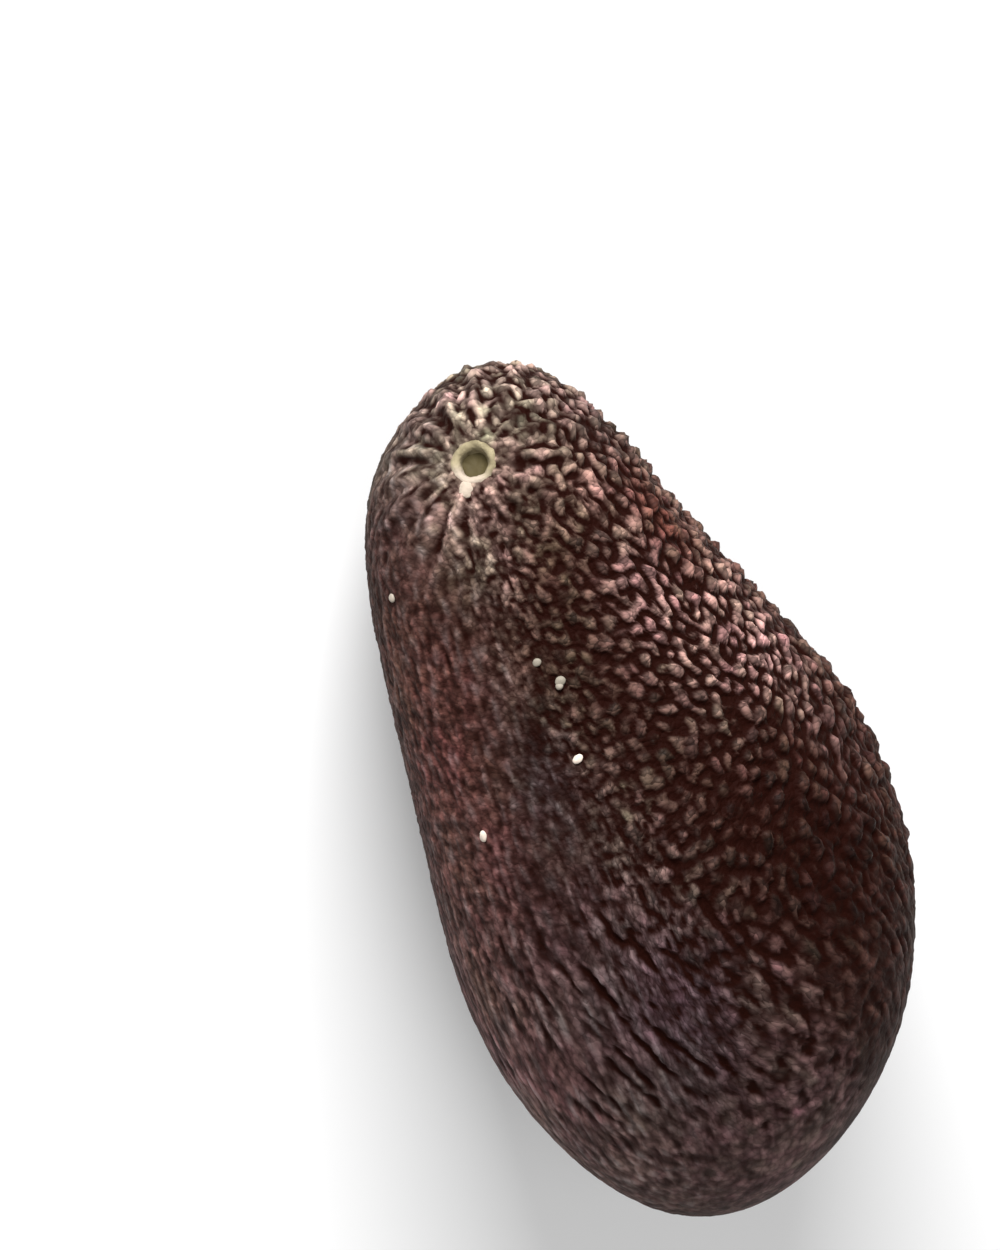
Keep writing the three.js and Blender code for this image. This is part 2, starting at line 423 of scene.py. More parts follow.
squeeze_x = np.linspace(-2, LENGTH + 2, 400)
squeeze = ROUND_PEBBLES + (LONG_PEBBLES - ROUND_PEBBLES) * (1 - ease(*LONG_TO_ROUND, squeeze_x))
squeezed = np.concatenate([[0], np.cumsum(np.diff(squeeze_x) / squeeze[1:])])


def off_axis(point):
    """How far a point is from the bowed middle line, sideways and up."""
    return point[..., 1] - sum_of_powers(BOW, 1 - 2 * point[..., 0] / LENGTH), point[..., 2]


def squeezed_space(point, twist):
    """A point moved to a space that is squeezed along the fruit and turned back by a twist."""
    y, z = off_axis(point)
    cos, sin = np.cos(twist), np.sin(twist)
    along = np.interp(point[..., 0], squeeze_x, squeezed)
    return np.stack([along, y * cos + z * sin, z * cos - y * sin], axis=-1)


def pebble_space(point):
    """The squeezed space in which the pebbles are round."""
    x = point[..., 0]
    y, z = off_axis(point)
    from_axis = np.hypot(y, z) + 1e-6
    sideways = ease(*TWISTED_SIDE, -y / from_axis)
    twist = NECK_TWIST * ease(*NECK_SPAN, x) - BELLY_TWIST * ease(*BELLY_SPAN, x)
    return squeezed_space(point, sideways * twist)


def smooth_flank(direction):
    """1 on the flank that faces +Y, where the skin is finer and flatter."""
    return ease(*FLANK_EDGE, direction[..., 1])


def blossom_end(direction):
    """1 at the blossom end, where the pebbles fade out."""
    return ease(*BLOSSOM_EDGE, -direction[..., 0])


def pebble_gap(direction):
    """The least distance between two pebbles, in millimetres."""
    gap = PEBBLE_GAP * (1 - FINER_ON_FLANK * smooth_flank(direction))
    gap *= 1 - FINER_AT_BLOSSOM * blossom_end(direction)
    return gap * (1 - FINER_AT_SCAR * nearness(direction, scar_direction, SCAR_ZONE))


print("squeezed length, mm:", round(float(squeezed[-1]), 1))

# %% Throw the darts
DARTS = 160000
DART_SEED = 11

random_numbers = np.random.default_rng(DART_SEED)
dart_x = random_numbers.uniform(-1, 1, DARTS)
dart_turn = random_numbers.uniform(0, 2 * math.pi, DARTS)
dart_across = np.sqrt(1 - dart_x**2)
darts = np.stack(
    [dart_x, dart_across * np.cos(dart_turn), dart_across * np.sin(dart_turn)], axis=-1
)
dart_places = pebble_space(body_point(darts))
dart_gaps = pebble_gap(darts)
board = kdtree.KDTree(DARTS)
for i, place in enumerate(dart_places):
    board.insert(place, i)
board.balance()
cleared = np.zeros(DARTS, bool)
kept = []
for i in range(DARTS):
    if not cleared[i]:
        kept.append(i)
        for _, j, _ in board.find_range(dart_places[i], dart_gaps[i]):
            cleared[j] = True
middles = dart_places[kept]
middle_gaps = dart_gaps[kept]
print("pebbles:", len(kept))

# %% [markdown]
# ## From darts to relief
#
# Each point of the skin belongs to its nearest pebble, and its height depends on how far it is
# from the border with the next one. A little noise on the point first makes the borders wander.
# Some borders are nearly filled in, because neighbouring pebbles often grow together.

# %% Measure each point against its pebbles
WOBBLE_SIZE = 1.6
PEBBLE_WOBBLE = 0.5
CURVED_PART = 0.55
SEED_STEP = 7.3


def wavering(points, size, seed):
    """Smooth noise from -1 to 1 with features of a size in millimetres."""
    return np.array([noise.noise(p) for p in (points / size + seed * SEED_STEP).tolist()])


wobble = np.stack([wavering(base, WOBBLE_SIZE, seed) for seed in (1, 2, 3)], axis=-1)
places = pebble_space(base + PEBBLE_WOBBLE * wobble)
tree_of_middles = kdtree.KDTree(len(middles))
for i, place in enumerate(middles):
    tree_of_middles.insert(place, i)
tree_of_middles.balance()
nearest = np.empty((len(places), 2), int)
distances = np.empty((len(places), 2))
for i, place in enumerate(places):
    for k, (_, j, d) in enumerate(tree_of_middles.find_n(place, 2)):
        nearest[i, k], distances[i, k] = j, d
apart = np.linalg.norm(middles[nearest[:, 0]] - middles[nearest[:, 1]], axis=1)
to_border = (distances[:, 1] ** 2 - distances[:, 0] ** 2) / (2 * apart)
roundness = np.clip(to_border / (CURVED_PART * middle_gaps[nearest[:, 0]]), 0, 1)
print("mean way to the border, mm:", round(float(to_border.mean()), 2))

# %% Give every pebble its own height, tone and hue
PEBBLE_HEIGHTS = (0.45, 1.25)
JOINED_SHARE = 0.18
JOINED_HEIGHT = 0.55
GRAIN_WOBBLE = 0.3
GRAIN_STRETCH = (1.45, 1, 1)
GRAIN_SIZE = 1.15
PAIR_FACTORS = (12.9898, 78.233)
PAIR_STRETCH = 43758.5453

# Each pair of neighbours gets a number from 0 to 1 that is the same on both sides of its border:
# the digits far behind the point of a sine are as good as random.
pair = np.sort(nearest, axis=1)
pair_wave = np.sin(pair[:, 0] * PAIR_FACTORS[0] + pair[:, 1] * PAIR_FACTORS[1])
joined = np.modf(np.abs(pair_wave) * PAIR_STRETCH)[0]
tone_of_pebble = random_numbers.uniform(0, 1, len(middles))
height_of_pebble = random_numbers.uniform(*PEBBLE_HEIGHTS, len(middles))
hue_of_pebble = random_numbers.normal(0, 1, len(middles))
pebble = np.sin(roundness * math.pi / 2)
filled_in = JOINED_HEIGHT + (1 - JOINED_HEIGHT) * pebble
pebble = np.where(joined < JOINED_SHARE, filled_in, pebble)
pebble *= height_of_pebble[nearest[:, 0]]
grain_place = pebble_space(base + GRAIN_WOBBLE * wobble) * GRAIN_STRETCH
grain_middles = (noise.voronoi(p)[0][0] for p in (grain_place / GRAIN_SIZE).tolist())
grains = np.array([1 - min(away, 1) for away in grain_middles])
tone = tone_of_pebble[nearest[:, 0]]
hue = hue_of_pebble[nearest[:, 0]]
print("mean pebble height:", round(float(pebble.mean()), 2))

# %% Soften the steps that the borders leave
PEBBLE_SOFTENING = 0.35
COLOUR_SOFTENING = 0.5

edge_ends = np.empty(len(skin_mesh.edges) * 2, int)
skin_mesh.edges.foreach_get("vertices", edge_ends)
edge_ends = edge_ends.reshape(-1, 2)
neighbour_count = np.bincount(edge_ends.ravel(), minlength=len(base))


def smoothed(values, amount):
    """Each value moved part of the way to the mean of its neighbours along the edges."""
    ends_a, ends_b = edge_ends[:, 0], edge_ends[:, 1]
    total = np.bincount(ends_a, values[ends_b], len(base))
    total += np.bincount(ends_b, values[ends_a], len(base))
    return values + amount * (total / neighbour_count - values)


pebble = smoothed(pebble, PEBBLE_SOFTENING)
for _ in range(2):
    tone = smoothed(tone, COLOUR_SOFTENING)
    hue = smoothed(hue, COLOUR_SOFTENING)
print("edges:", len(edge_ends))

# %% [markdown]
# ## Raise the skin
#
# The pebbles are boldest on the shoulder and low on one flank and at the blossom end. The lower
# half is parted by creases. They are a noise stretched along the fruit, of which only the highest
# islands are kept, and those are short, narrow and slanting. The same noise kept whole gives the
# flank its faint streaks. Slow noise lifts and sinks whole groups of pebbles, so that no two
# patches look alike.

# %% Name the zones of the skin
LOWER_HALF_EDGE = (32, 62)
CREASED_EDGE = (45, 72)
SCAR_EDGE = (3.5, 16)
MIDDLE_EDGE = (-0.45, -0.05)
FAR_FLANK_EDGE = (0.3, 0.8)

scar_distance, scar_angle = scar_polar(base)
flank = smooth_flank(direction)
blossom = blossom_end(direction)
lower_half = 1 - ease(*LOWER_HALF_EDGE, base[:, 0])
creased = 1 - ease(*CREASED_EDGE, base[:, 0])
near_scar = 1 - ease(*SCAR_EDGE, scar_distance)
middle = ease(*MIDDLE_EDGE, direction[:, 1])
far_flank = ease(*FAR_FLANK_EDGE, direction[:, 1])


def faded(*losses):
    """What is left of 1 after every zone has taken its share of it."""
    left = np.ones(len(base))
    for share, zone in losses:
        left *= 1 - share * zone
    return left


print("share of the skin on the smooth flank:", round(float(flank.mean()), 2))

# %% Streaks and creases
CREASE_WOBBLE = 0.4
CREASE_TWIST = 0.6
CREASE_SPAN = (5, 70)
CREASE_EDGE = 0.3


def along_noise(place, length, width, seed):
    """Smooth noise from -1 to 1 whose features are long in the fruit's direction."""
    return wavering(place * (squeeze[0] / length, 1 / width, 1 / width), 1.0, seed)


def creases(length, width, least, seed):
    """1 in short slanting creases, 0 between them."""
    twist = -CREASE_TWIST * ease(*CREASE_SPAN, base[:, 0])
    place = squeezed_space(base + CREASE_WOBBLE * wobble, twist)
    return ease(least, least + CREASE_EDGE, along_noise(place, length, width, seed))


streaks = along_noise(pebble_space(base), 7, 0.9, 10)
deep_creases = creases(13.0, 1.5, 0.17, 5)
fine_creases = creases(9.0, 1.1, 0.12, 6)
print("share of the skin in deep creases:", round(float(deep_creases.mean()), 2))

# %% Add up the relief
PEBBLE_RISE = 1.25
PEBBLE_FOOT = 0.6
UNEVENNESS = 0.16
GRAIN_RISE = 0.6
GRAIN_FOOT = 0.5
RIB_RISE = 0.4
DEEP_CREASE = 0.5
FINE_CREASE = 0.3
STREAK_RISE = 0.16
RELIEF_SOFTENING = 0.15

bold_pebbles = PEBBLE_RISE * faded(
    (0.84, flank), (0.55, lower_half), (0.95, blossom), (0.8, near_scar), (0.25, middle)
)
bold_grains = GRAIN_RISE * faded((0.58, flank), (0.3, lower_half), (0.9, blossom))
groups = wavering(base, 7.0, 8) + wavering(base, 3.2, 9)
relief = bold_pebbles * (pebble - PEBBLE_FOOT + UNEVENNESS * groups)
relief += bold_grains * (grains - GRAIN_FOOT)
relief += RIB_RISE * ribs(scar_distance, scar_angle)
relief -= DEEP_CREASE * creased * faded((0.75, far_flank), (1, blossom)) * deep_creases
relief -= FINE_CREASE * creased * faded((0.75, far_flank), (0.9, blossom)) * fine_creases
relief += STREAK_RISE * flank * streaks
relief = smoothed(relief, RELIEF_SOFTENING)
print("relief, mm:", np.round([relief.min(), relief.max()], 2))

# %% Find the tops and the furrows
LOCAL_PASSES = 14
LOCAL_SOFTENING = 0.9
SHADED_DARK_SIDE = (0.05, -0.6, 0.8)
SHADED_DARK_SIDE_REACH = 0.55
SHADED_DARK_SIDE_LOSS = 0.1

# How high a point is above the skin round it; the material paints low points darker. On one side
# every point is lowered a little, so that side is painted darker: partly its skin's own darker
# colour, partly painted shade.
local = relief
for _ in range(LOCAL_PASSES):
    local = smoothed(local, LOCAL_SOFTENING)
rise = relief - local
rise -= SHADED_DARK_SIDE_LOSS * nearness(direction, towards(SHADED_DARK_SIDE), SHADED_DARK_SIDE_REACH)
print("rise above the skin round it, mm:", np.round([rise.min(), rise.max()], 2))

# %% Place every point
RIDGE_UNEVENNESS = 1.1

relief += swelling(direction) + scar_relief(base, RIDGE_UNEVENNESS * wavering(base, 5.0, 4))
raised = laid_down(base + normal * relief[:, None])
skin_mesh.vertices.foreach_set("co", raised.astype(np.float32).ravel())
skin_mesh.polygons.foreach_set("use_smooth", [True] * len(skin_mesh.polygons))
skin_mesh.update()
skin = bpy.data.objects.new("avocado_skin", skin_mesh)
scene.collection.objects.link(skin)
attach(skin, "root")
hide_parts("avocado")
print("skin box, mm:", np.round(raised.min(axis=0) / MM, 1), np.round(raised.max(axis=0) / MM, 1))

# %% [markdown]
# ## The skin's colours
#
# The ripe skin isn't one brown. It is nearly black between the pebbles, partly its own colour and
# partly painted shade, and their tops run from dusty pink on the shoulder through olive brown to
# purple lower down. Broad soft patches are stored on the mesh as a colour for each point, and the
# material mixes them with each pebble's own tone. The patches are partly the skin's own colour and
# partly painted light and shade: darker on the side towards -Y as painted shade, lighter low on
# the
# +Y side as painted light from below. Noise shifts the hue a few per cent to olive or purple, and
# the wax bloom greys the raised streaks of the smooth flank.

# %% Paint the broad patches
BASE_TINT = "#3f2a25"
# Each patch is a direction, a reach and a colour, partly the skin's own and partly painted light
# and shade: the dark patches towards -Y are partly painted shade, and the light ones low on the +Y
# side partly painted light from below.
TINT_AND_LIGHT_PATCHES = (
    ((0.97, -0.08, 0.25), 0.5, "#8f7e71"),
    ((0.94, 0.27, 0.2), 0.22, "#8a776c"),
    ((0.8, -0.5, 0.3), 0.33, "#5d4a45"),
    ((0.72, -0.42, 0.54), 0.17, "#81685c"),
    ((0.8, 0.12, 0.58), 0.22, "#9f8578"),
    ((0.6, -0.15, 0.78), 0.28, "#46352b"),
    ((0.15, -0.2, 0.97), 0.48, "#31241d"),
    ((0.1, 0.13, 0.98), 0.24, "#4c3e37"),
    ((0.0, -0.7, 0.7), 0.5, "#220f08"),
    ((0.42, -0.5, 0.75), 0.22, "#775b56"),
    ((0.33, -0.82, 0.48), 0.27, "#9a7a72"),
    ((0.6, -0.7, 0.38), 0.2, "#4f2e26"),
    ((0.05, -0.72, 0.69), 0.16, "#38231d"),
    ((0.3, 0.8, 0.5), 0.45, "#7c514a"),
    ((-0.35, 0.45, 0.82), 0.38, "#5c4c4d"),
    ((-0.5, 0.8, 0.4), 0.4, "#9c7170"),
    ((-0.2, 0.9, 0.4), 0.15, "#8d6b60"),
    ((-0.8, -0.1, 0.6), 0.42, "#8d716f"),
    ((-0.68, 0.5, 0.54), 0.2, "#977672"),
    ((-0.35, 0.15, 0.92), 0.24, "#4c3e41"),
    ((-0.2, -0.62, 0.75), 0.3, "#180d0a"),
    ((-0.5, -0.58, 0.64), 0.2, "#3d2823"),
    ((0.46, 0.02, 0.89), 0.14, "#372a23"),
    ((0.26, 0.36, 0.9), 0.16, "#443c3a"),
    ((0.44, 0.34, 0.83), 0.1, "#6b544d"),
    # Painted shade: a near-black spot for the shade in a small dent, which the relief doesn't
    # have.
    ((0.345, 0.3, 0.89), 0.065, "#050404"),
)

tint_and_light = np.tile(colour(BASE_TINT)[:3], (len(base), 1))
for at, reach, hex_code in TINT_AND_LIGHT_PATCHES:
    weight = nearness(direction, towards(at), reach)[:, None]
    tint_and_light = tint_and_light * (1 - weight) + np.array(colour(hex_code)[:3]) * weight
print("tint patches:", len(TINT_AND_LIGHT_PATCHES))

# %% Shift the hue from place to place
OLIVE_SHIFT = np.array((-0.09, 0.07, -0.04))
PURPLE_SHIFT = np.array((0.01, -0.02, 0.045))
OLIVE_OF_PEBBLE = 0.4
FINE_OLIVE = 0.6
FINE_PURPLE = 0.5
BLOOM = 0.9
MOST_BLOOM = 0.5

fine_olive = OLIVE_OF_PEBBLE * hue + FINE_OLIVE * wavering(base, 1.5, 13)
olive = (0.6 + 0.5 * flank) * wavering(base, 9.0, 12) + faded((0.4, flank)) * fine_olive
purple = wavering(base, 11.0, 16) + FINE_PURPLE * wavering(base, 3.0, 17)
tint_and_light *= 1 + OLIVE_SHIFT * olive[:, None] + PURPLE_SHIFT * purple[:, None]
bloom = np.clip(BLOOM * flank * streaks, 0, MOST_BLOOM)[:, None]
tint_and_light = tint_and_light * (1 - bloom) + tint_and_light.mean(axis=1, keepdims=True) * bloom
print("mean tint in linear light:", np.round(tint_and_light.mean(axis=0), 3))

# %% Store what the material reads
FINE_PATCHES = 0.5
BROAD_PATCHES = 0.35
STREAK_PATCHES = 0.6


def store(name, kind, part, values):
    """Keeps a number, a vector or a colour for each point, for the material to read."""
    made = skin_mesh.attributes.new(name, kind, "POINT")
    made.data.foreach_set(part, np.asarray(values, np.float32).ravel())


patches = 1 + FINE_PATCHES * wavering(base, 2.6, 14) + BROAD_PATCHES * wavering(base, 7.0, 15)
patches += STREAK_PATCHES * flank * streaks
store("rise_mm", "FLOAT", "value", rise)
store("tone", "FLOAT", "value", tone)
store("patches", "FLOAT", "value", patches)
store("speckled", "FLOAT", "value", faded((0.45, flank), (0.8, blossom), (0.4, near_scar)))
store("tint_and_light", "FLOAT_COLOR", "color", np.concatenate([tint_and_light, np.ones((len(tint_and_light), 1))], axis=1))
store("grain_place", "FLOAT_VECTOR", "vector", grain_place)
print("stored on the mesh:", [a.name for a in skin_mesh.attributes if not a.is_internal])

# %% [markdown]
# ## Waxy leathery skin
#
# Avocado skin is a tough cuticle with a thin natural wax. It hardly shines: there is a weak satin
# on the tops of the pebbles and a faint dusty bloom where the skin turns away. Principled BSDF
# covers it, with the usual IOR of plant wax, a low specular level, tops that are smoother than the
# furrows, and a touch of sheen.
#
# The brightness of a top is a product: its pebble's tone, the patches, a mottle, and small warts
# that are each a little lighter or darker, and darker towards their edges as painted shade. The
# height then mixes the near-black furrows with them. The furrows are partly the skin's own dark
# and partly painted shade, and the tops are lighter partly as painted highlight.

# %% How bright the tops are
MOTTLE_SIZE = 1.1
WART_SIZE = 0.8
MOST_GAIN = 2.3

skin_material, tree, output = new_material("waxy pebbled avocado skin")
stored = {
    name: add_node(tree, "ShaderNodeAttribute", attribute_name=name)
    for name in ("rise_mm", "tone", "patches", "speckled", "tint_and_light", "grain_place")
}
skin_place = stored["grain_place"].outputs["Vector"]
speckled = stored["speckled"].outputs["Fac"]
mottle = add_node(
    tree,
    "ShaderNodeTexNoise",
    {"Vector": skin_place, "Scale": 1 / MOTTLE_SIZE, "Detail": 2.0, "Roughness": 0.6},
)
mottle_gain = add_node(
    tree,
    "ShaderNodeMapRange",
    {"Value": mottle.outputs[0], "From Min": 0.3, "From Max": 0.7, "To Min": 0.75, "To Max": 1.3},
)
tone_gain = add_node(
    tree,
    "ShaderNodeMapRange",
    {"Value": stored["tone"].outputs["Fac"], "To Min": 0.55, "To Max": 2.4},
)
warts = add_node(tree, "ShaderNodeTexVoronoi", {"Vector": skin_place, "Scale": 1 / WART_SIZE})
from_wart = warts.outputs["Distance"]
wart_random = add_node(tree, "ShaderNodeSeparateColor", {"Color": warts.outputs["Color"]})
wart_gain = add_node(
    tree,
    "ShaderNodeMapRange",
    {"Value": wart_random.outputs[0], "From Min": 0.3, "To Min": 0.5, "To Max": 1.9},
)
speckle = add_node(
    tree, "ShaderNodeMix", {"Factor": speckled, NUMBER_A: 1.0, NUMBER_B: wart_gain.outputs[0]}
)
# Painted shade: each wart is darker towards its edge, where shade falls between the warts.
wart_shade = add_node(
    tree,
    "ShaderNodeMapRange",
    {"Value": from_wart, "From Min": 0.3, "From Max": 0.8, "To Min": 1.15, "To Max": 0.6},
)
gain = mottle_gain.outputs[0]
for factor in (
    tone_gain.outputs[0],
    stored["patches"].outputs["Fac"],
    speckle.outputs[NUMBER_RESULT],
    wart_shade.outputs[0],
):
    gain = add_node(tree, "ShaderNodeMath", {0: gain, 1: factor}, operation="MULTIPLY").outputs[0]
gain = add_node(tree, "ShaderNodeMath", {0: gain, 1: MOST_GAIN}, operation="MINIMUM").outputs[0]
print("nodes so far:", len(tree.nodes))

# %% Colour, roughness and bump
FINE_GRAIN_SIZE = 0.4
WART_BUMP = 0.25 * MM
GRAIN_BUMP = 0.1 * MM

tops = add_node(
    tree,
    "ShaderNodeVectorMath",
    {0: stored["tint_and_light"].outputs["Color"], "Scale": gain},
    operation="SCALE",
)
# Painted light and shade: the near-black of the furrows is partly painted shade, and the tops are
# lighter partly as painted highlight.
height = add_node(
    tree,
    "ShaderNodeMapRange",
    {"Value": stored["rise_mm"].outputs["Fac"], "From Min": -0.2, "From Max": 0.42},
    interpolation_type="SMOOTHSTEP",
)
surface_colour = add_node(
    tree,
    "ShaderNodeMix",
    {"Factor": height.outputs[0], MIX_A: colour("#190502"), MIX_B: tops.outputs[0]},
    data_type="RGBA",
)
roughness = add_node(
    tree, "ShaderNodeMapRange", {"Value": height.outputs[0], "To Min": 0.7, "To Max": 0.45}
)
wart_depth = add_node(tree, "ShaderNodeMath", {0: from_wart, 1: speckled}, operation="MULTIPLY")
wart_bump = add_node(
    tree,
    "ShaderNodeBump",
    {"Height": wart_depth.outputs[0], "Distance": WART_BUMP, "Strength": 0.8},
    invert=True,
)
fine_grain = add_node(
    tree,
    "ShaderNodeTexNoise",
    {"Vector": skin_place, "Scale": 1 / FINE_GRAIN_SIZE, "Detail": 2.0, "Roughness": 0.6},
)
bump = add_node(
    tree,
    "ShaderNodeBump",
    {
        "Height": fine_grain.outputs[0],
        "Distance": GRAIN_BUMP,
        "Strength": 0.9,
        "Normal": wart_bump.outputs[0],
    },
)
bsdf = add_node(
    tree,
    "ShaderNodeBsdfPrincipled",
    {
        "Base Color": surface_colour.outputs[MIX_RESULT],
        "Roughness": roughness.outputs[0],
        "Normal": bump.outputs[0],
        "IOR": 1.45,
        "Specular IOR Level": 0.04,
        "Sheen Weight": 0.025,
        "Sheen Roughness": 0.4,
        "Sheen Tint": colour("#d8c8b8"),
    },
)
tree.links.new(bsdf.outputs[0], output.inputs[0])
skin_mesh.materials.append(skin_material)
print(skin_material.name, "nodes:", len(tree.nodes))

# %% [markdown]
# ## The stem scar
#
# Where the stalk came away, the fruit has closed the wound with a ring of cork, and the little
# hole in it shows the dried strand that fed the fruit. A profile spun about the scar's own axis
# gives the ring, and noise makes it as uneven as cork is. The hole's lining is a second profile
# that goes on where the ring's ends. Radii and heights are in millimetres from the scar's seat.

# %% Where the scar sits, and the tools for small pieces
RING_PROFILE = (
    (3.3, -1.6),
    (3.08, -0.35),
    (2.92, 0.12),
    (2.66, 0.36),
    (2.38, 0.42),
    (2.08, 0.28),
    (1.86, -0.02),
    (1.74, -0.5),
    (1.64, -1.1),
)
PIT_PROFILE = ((1.64, -1.1), (1.25, -1.5), (0.6, -1.65), (0.0, -1.6))
RING_STEPS = 60
COARSE_CORK = (1.3, 0.2, 3.1)
FINE_CORK = (0.5, 0.08, 8.4)
CORK_SEED = 4

# Vector noise is the one noise that starts from the clock, so it gets a seed here.
noise.seed_set(CORK_SEED)


def seated(place, outward):
    """The matrix that sets a piece at a place, in metres, with its Z along the outward normal."""
    axis = Vector(tipped(outward)).normalized()
    return Matrix.Translation(place) @ axis.to_track_quat("Z", "Y").to_matrix().to_4x4()


scar_height = float(swelling(scar_direction)) - DIMPLE_DEPTH - COLLAR_DEPTH
scar_seat = Vector(laid_down(scar_point + scar_normal * scar_height))
scar_frame = seated(scar_seat, scar_normal)


def spun(profile, steps):
    """A surface of revolution about Z, in millimetres, from pairs of radius and height."""
    made = bmesh.new()
    line = [made.verts.new((radius, 0, rise)) for radius, rise in profile]
    edges = [made.edges.new(pair) for pair in zip(line, line[1:])]
    bmesh.ops.spin(
        made,
        geom=line + edges,
        axis=(0, 0, 1),
        cent=(0, 0, 0),
        angle=2 * math.pi,
        steps=steps,
        use_merge=True,
    )
    bmesh.ops.remove_doubles(made, verts=made.verts[:], dist=1e-4)
    bmesh.ops.recalc_face_normals(made, faces=made.faces[:])
    if sum(face.normal.z for face in made.faces) < 0:
        bmesh.ops.reverse_faces(made, faces=made.faces[:])
    return made


def roughen(shape, size, amount, seed):
    """Pushes points about by noise of a size, in millimetres."""
    for vert in shape.verts:
        vert.co += noise.noise_vector(vert.co / size + Vector((seed, seed, seed))) * amount


def finish_piece(shape, name, frame_matrix, material):
    """Makes the object, in its place, and hands it to the frame."""
    bmesh.ops.transform(shape, matrix=frame_matrix @ Matrix.Scale(MM, 4), verts=shape.verts[:])
    mesh = bpy.data.meshes.new(name)
    shape.to_mesh(mesh)
    shape.free()
    mesh.polygons.foreach_set("use_smooth", [True] * len(mesh.polygons))
    mesh.materials.append(material)
    made = bpy.data.objects.new(name, mesh)
    scene.collection.objects.link(made)
    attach(made, "root")
    print(name, "faces:", len(mesh.polygons))


print("scar seat, mm:", [round(v / MM, 1) for v in scar_seat])

# %% [markdown]
# The cork is pale and dry: dead cells full of air scatter light, so it's rough, without a sheen.
# The strand in the hole has dried to a dark olive.

# %% Cork and strand
CORK_SPOTS = 1.6 * MM
CORK_GRAIN = 0.35 * MM
CORK_BUMP = 0.12 * MM

cork, tree, output = new_material("pale dry cork")
place = add_node(tree, "ShaderNodeTexCoord")
pale_node = add_node(tree, "ShaderNodeAttribute", attribute_name="pale")
spots = add_node(
    tree,
    "ShaderNodeTexNoise",
    {"Vector": place.outputs["Object"], "Scale": 1 / CORK_SPOTS, "Detail": 3.0},
)
cork_mix = add_node(
    tree, "ShaderNodeMapRange", {"Value": spots.outputs["Fac"], "From Min": 0.35, "From Max": 0.65}
)
olive_cork = add_node(
    tree,
    "ShaderNodeMix",
    {"Factor": cork_mix.outputs[0], MIX_A: colour("#877c60"), MIX_B: colour("#655b42")},
    data_type="RGBA",
)
cork_colour = add_node(
    tree,
    "ShaderNodeMix",
    {
        "Factor": pale_node.outputs["Fac"],
        MIX_A: olive_cork.outputs[MIX_RESULT],
        MIX_B: colour("#a09283"),
    },
    data_type="RGBA",
)
fine = add_node(
    tree,
    "ShaderNodeTexNoise",
    {"Vector": place.outputs["Object"], "Scale": 1 / CORK_GRAIN, "Detail": 2.0},
)
bump = add_node(tree, "ShaderNodeBump", {"Height": fine.outputs["Fac"], "Distance": CORK_BUMP})
bsdf = add_node(
    tree,
    "ShaderNodeBsdfPrincipled",
    {"Base Color": cork_colour.outputs[MIX_RESULT], "Roughness": 0.85, "Normal": bump.outputs[0]},
)
tree.links.new(bsdf.outputs[0], output.inputs[0])

strand, tree, output = new_material("dried olive strand")
bsdf = add_node(
    tree, "ShaderNodeBsdfPrincipled", {"Base Color": colour("#3f3513"), "Roughness": 0.8}
)
tree.links.new(bsdf.outputs[0], output.inputs[0])
print("materials:", [m.name for m in bpy.data.materials])

# %% Place the ring and the strand
PALE_SIDE = (0.857, 0.12, 0.5)
PALE_EDGE = (0.1, 1.0)
WART_PLACE = (3.6, 0, 0.1)
WART_RADII = (1.25, 1.05, 0.45)

# The ring is palest on the side that faces PALE_SIDE, where a wart sits beside it.
pale_place = scar_frame.inverted() @ Vector(laid_down(body_point(unit(np.array(PALE_SIDE)))))
pale_angle = math.atan2(pale_place.y, pale_place.x)
ring = spun(RING_PROFILE, RING_STEPS)
wart_seat = Matrix.Rotation(pale_angle, 4, "Z") @ Matrix.Translation(WART_PLACE)
wart_shape = wart_seat @ Matrix.Diagonal((*WART_RADII, 1))
bmesh.ops.create_icosphere(ring, subdivisions=3, radius=1, matrix=wart_shape)
pale = ring.verts.layers.float.new("pale")
for vert in ring.verts:
    turn_away = math.atan2(vert.co.y, vert.co.x) - pale_angle
    vert[pale] = float(ease(*PALE_EDGE, math.cos(turn_away)))
pit = spun(PIT_PROFILE, RING_STEPS)
for piece, name, material in ((ring, "stem_scar_ring", cork), (pit, "stem_scar_strand", strand)):
    roughen(piece, *COARSE_CORK)
    roughen(piece, *FINE_CORK)
    finish_piece(piece, name, scar_frame, material)

# %% [markdown]
# ## Cork specks
#
# The skin breathes through lenticels, and some of them heal over as tiny pale warts. Each is a
# small ball, flattened and set into the skin at the nearest point of its surface.

# %% Set the specks into the skin
SPECKS = (
    ((0.28, 0.16, 0.95), 0.75, 0.55, 1.0),
    ((0.16, 0.7, 0.69), 0.8, 0.55, 1.0),
    ((0.66, 0.65, 0.36), 0.6, 0.5, 0.35),
    ((0.49, 0.15, 0.86), 0.6, 0.5, 0.1),
    ((0.44, 0.08, 0.9), 0.7, 0.6, 0.1),
    ((0.43, 0.1, 0.9), 0.5, 0.45, 0.2),
)
SPECK_LIFT = 0.12
SPECK_HEIGHT = 0.3
SPECK_ROUGHNESS = (0.6, 0.08, 2.2)

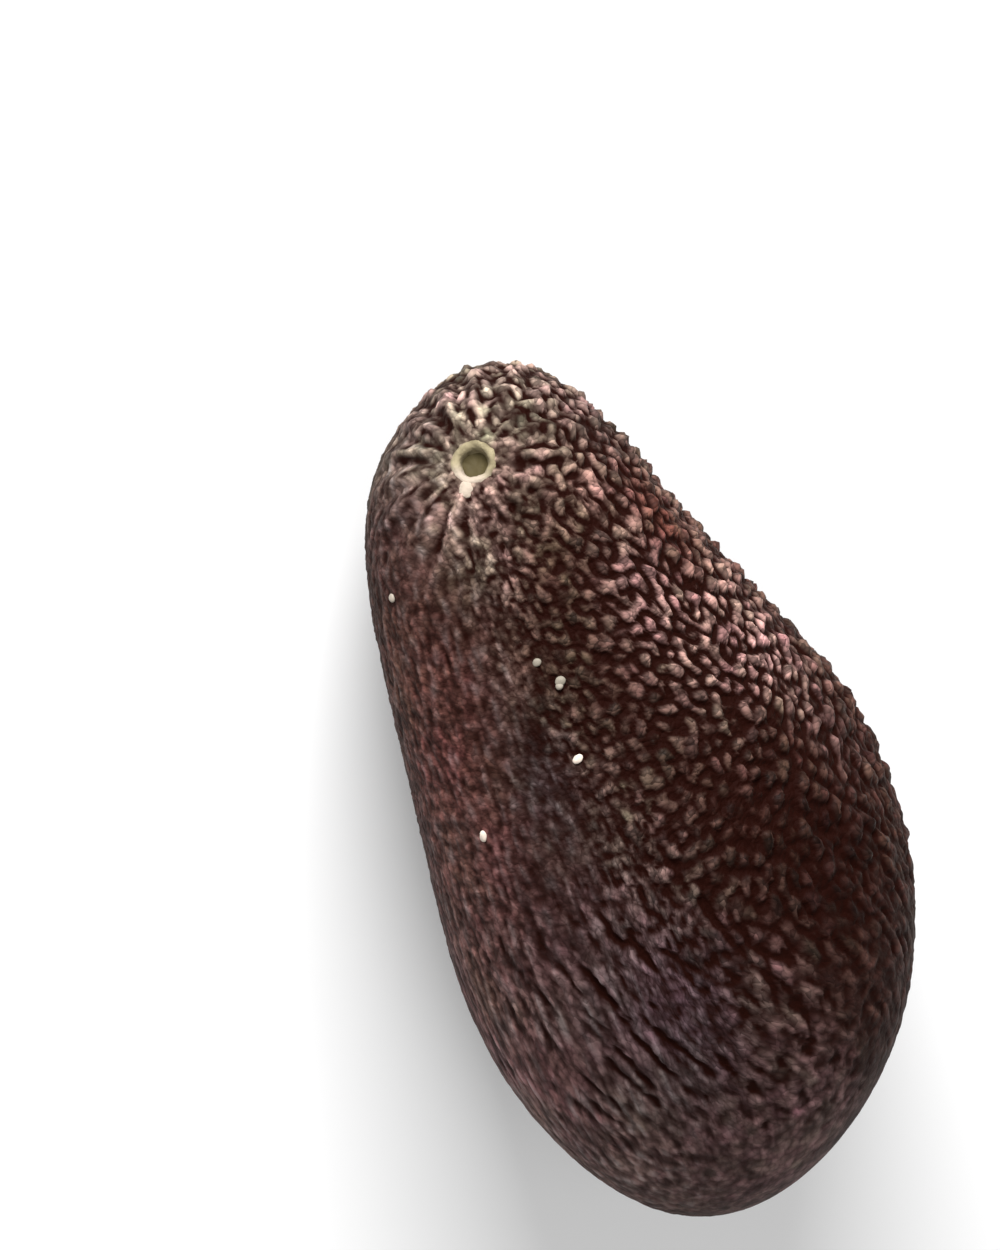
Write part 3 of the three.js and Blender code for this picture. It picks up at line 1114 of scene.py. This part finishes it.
skin_points = kdtree.KDTree(len(base))
for i, place_mm in enumerate(base):
    skin_points.insert(place_mm, i)
skin_points.balance()
specks = bmesh.new()
pale = specks.verts.layers.float.new("pale")
for at, long_radius, short_radius, paleness in SPECKS:
    _, i, _ = skin_points.find(body_point(unit(np.array(at))))
    outward = Vector(tipped(normal[i]))
    seat = Matrix.Translation(Vector(raised[i] / MM) + outward * SPECK_LIFT)
    facing = outward.to_track_quat("Z", "X").to_matrix().to_4x4()
    squash = Matrix.Diagonal((short_radius, long_radius, SPECK_HEIGHT, 1))
    speck = bmesh.ops.create_icosphere(
        specks, subdivisions=3, radius=1, matrix=seat @ facing @ squash
    )
    for vert in speck["verts"]:
        vert[pale] = paleness
roughen(specks, *SPECK_ROUGHNESS)
print("cork specks:", len(SPECKS))

# %% Finish the specks in healed cork
lenticel, tree, output = new_material("healed lenticel cork")
pale_node = add_node(tree, "ShaderNodeAttribute", attribute_name="pale")
speck_colour = add_node(
    tree,
    "ShaderNodeMix",
    {"Factor": pale_node.outputs["Fac"], MIX_A: colour("#6f695c"), MIX_B: colour("#cbbcae")},
    data_type="RGBA",
)
bsdf = add_node(
    tree,
    "ShaderNodeBsdfPrincipled",
    {"Base Color": speck_colour.outputs[MIX_RESULT], "Roughness": 0.7},
)
tree.links.new(bsdf.outputs[0], output.inputs[0])
finish_piece(specks, "lenticel_specks", Matrix.Identity(4), lenticel)

# %% [markdown]
# ## The blossom end's point
#
# At the other end a dry speck is left where the flower's style was. It's a low button, spun too.

# %% Place the point
POINT_PROFILE = (
    (1.5, -0.8),
    (1.35, 0.0),
    (1.15, 0.3),
    (0.95, 0.36),
    (0.75, 0.2),
    (0.55, 0.25),
    (0.3, 0.5),
    (0.0, 0.6),
)
POINT_STEPS = 32
COARSE_POINT = (0.9, 0.2, 5.0)
FINE_POINT = (0.4, 0.1, 6.0)

point_direction = np.array((-1.0, 0.0, 0.0))
point_normal = body_normal(point_direction)
point_height = float(swelling(point_direction))
point_seat = Vector(laid_down(body_point(point_direction) + point_normal * point_height))
point = spun(POINT_PROFILE, POINT_STEPS)
roughen(point, *COARSE_POINT)
roughen(point, *FINE_POINT)
dry_tip, tree, output = new_material("dry style remnant")
bsdf = add_node(
    tree,
    "ShaderNodeBsdfPrincipled",
    {"Base Color": colour("#3a281f"), "Roughness": 0.8, "Specular IOR Level": 0.1},
)
tree.links.new(bsdf.outputs[0], output.inputs[0])
finish_piece(point, "blossom_point", seated(point_seat, point_normal), dry_tip)
